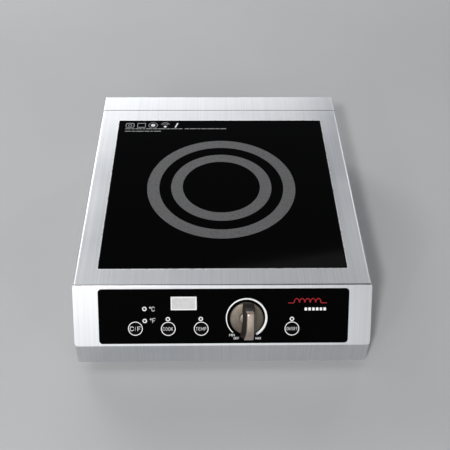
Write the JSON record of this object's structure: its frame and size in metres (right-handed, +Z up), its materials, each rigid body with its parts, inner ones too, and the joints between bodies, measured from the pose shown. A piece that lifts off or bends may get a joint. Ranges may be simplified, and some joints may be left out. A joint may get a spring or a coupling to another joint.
{
  "type": "induction hob",
  "caption": "Countertop induction hob with folded steel housing, black glass plate, slanted control front, rotary power knob and push keys.",
  "frame": {"origin": "middle of the overall box at table level, under the feet", "axes": "+X to the user's right, +Y to the back, +Z up"},
  "size_m": [0.331, 0.4228, 0.1022],
  "materials": {
    "brushed_stainless": "brushed stainless sheet",
    "zinc_sheet": "zinc-coated sheet",
    "glass_ceramic": "opaque black glass-ceramic",
    "black_silicone": "matt silicone",
    "black_rubber": "matt rubber",
    "overlay_film": "satin black film",
    "key_plastic": "satin black",
    "display_lens": "pale grey lens",
    "lamp_lens": "smoked lens",
    "knob_metallic": "bronze-grey metallic",
    "pointer_inlay": "pale inlay",
    "dark_plastic": "matt black",
    "circuit_board": "green solder mask",
    "brass": "machined",
    "plated_steel": "zinc plated",
    "aluminium": "mill finish",
    "enamelled_copper": "enamelled litz wire",
    "pale_plastic": "heat-resistant moulding",
    "ferrite": "sintered ferrite",
    "mica": "mica sheet",
    "sensor_ceramic": "white ceramic",
    "capacitor_red": "moulded",
    "relay_blue": "moulded",
    "terminal_green": "moulded",
    "lead_sleeve": "woven sleeve",
    "ribbon_grey": "flat cable",
    "fan_lead_red": "insulated wire"
  },
  "bodies": {
    "housing": {"top_housing": "brushed_stainless", "rear_cover": "brushed_stainless", "base_pan": "zinc_sheet", "glass_plate": "glass_ceramic", "glass_seal": "black_silicone", "glass_support": "zinc_sheet", "control_overlay": "overlay_film", "display_window": "display_lens", "display_module": "dark_plastic", "led_indicators": "lamp_lens", "control_board": "circuit_board", "board_spacers": "brass", "key_switches": "dark_plastic", "potentiometer": "plated_steel", "potentiometer_nut": "brass", "coil_outer_winding": "enamelled_copper", "coil_inner_winding": "enamelled_copper", "coil_former": "pale_plastic", "ferrite_bars": "ferrite", "mica_sheet": "mica", "coil_plate": "aluminium", "coil_posts": "plated_steel", "coil_springs": "plated_steel", "thermistor": "sensor_ceramic", "power_board": "circuit_board", "power_board_spacers": "brass", "heat_sink": "aluminium", "power_transistors": "dark_plastic", "bridge_rectifier": "dark_plastic", "film_capacitors": "capacitor_red", "mains_choke": "enamelled_copper", "relay": "relay_blue", "fuse_holder": "pale_plastic", "terminal_block": "terminal_green", "fan_frame": "dark_plastic", "fan_guard": "plated_steel", "fan_screws": "plated_steel", "feet": "black_rubber", "foot_screws": "plated_steel", "base_screws": "plated_steel", "rear_screws": "plated_steel", "cable_gland": "dark_plastic", "gland_nut": "dark_plastic", "coil_leads": "lead_sleeve", "ribbon_cable": "ribbon_grey", "fan_lead": "fan_lead_red", "earth_stud": "brass"},
    "power_knob": {"knob": "knob_metallic", "knob_pointer": "pointer_inlay", "knob_screw": "plated_steel", "potentiometer_shaft": "plated_steel"},
    "cf_key": {"key_cf": "key_plastic"},
    "cook_key": {"key_cook": "key_plastic"},
    "temp_key": {"key_temp": "key_plastic"},
    "onoff_key": {"key_onoff": "key_plastic"},
    "cooling_rotor": {"fan_rotor": "dark_plastic"}
  },
  "joints": [
    {"name": "power_knob_turn", "type": "hinge", "parent": "housing", "child": "power_knob", "pos_m": [0.0265, -0.18709, 0.06972], "axis": [0, 0.8425, -0.5388], "range_deg": [-155, 151]},
    {"name": "cf_key_press", "type": "slide", "parent": "housing", "child": "cf_key", "axis": [0, 0.8425, -0.5388], "range_m": [0, 0.0005], "stiffness_N_per_m": 2000, "springref_m": -0.0005},
    {"name": "cook_key_press", "type": "slide", "parent": "housing", "child": "cook_key", "axis": [0, 0.8425, -0.5388], "range_m": [0, 0.0005], "stiffness_N_per_m": 2000, "springref_m": -0.0005},
    {"name": "temp_key_press", "type": "slide", "parent": "housing", "child": "temp_key", "axis": [0, 0.8425, -0.5388], "range_m": [0, 0.0005], "stiffness_N_per_m": 2000, "springref_m": -0.0005},
    {"name": "onoff_key_press", "type": "slide", "parent": "housing", "child": "onoff_key", "axis": [0, 0.8425, -0.5388], "range_m": [0, 0.0005], "stiffness_N_per_m": 2000, "springref_m": -0.0005},
    {"name": "cooling_rotor_spin", "type": "hinge", "parent": "housing", "child": "cooling_rotor", "pos_m": [-0.088, -0.02457, 0.03], "axis": [0, 0, 1], "continuous": true}
  ]
}
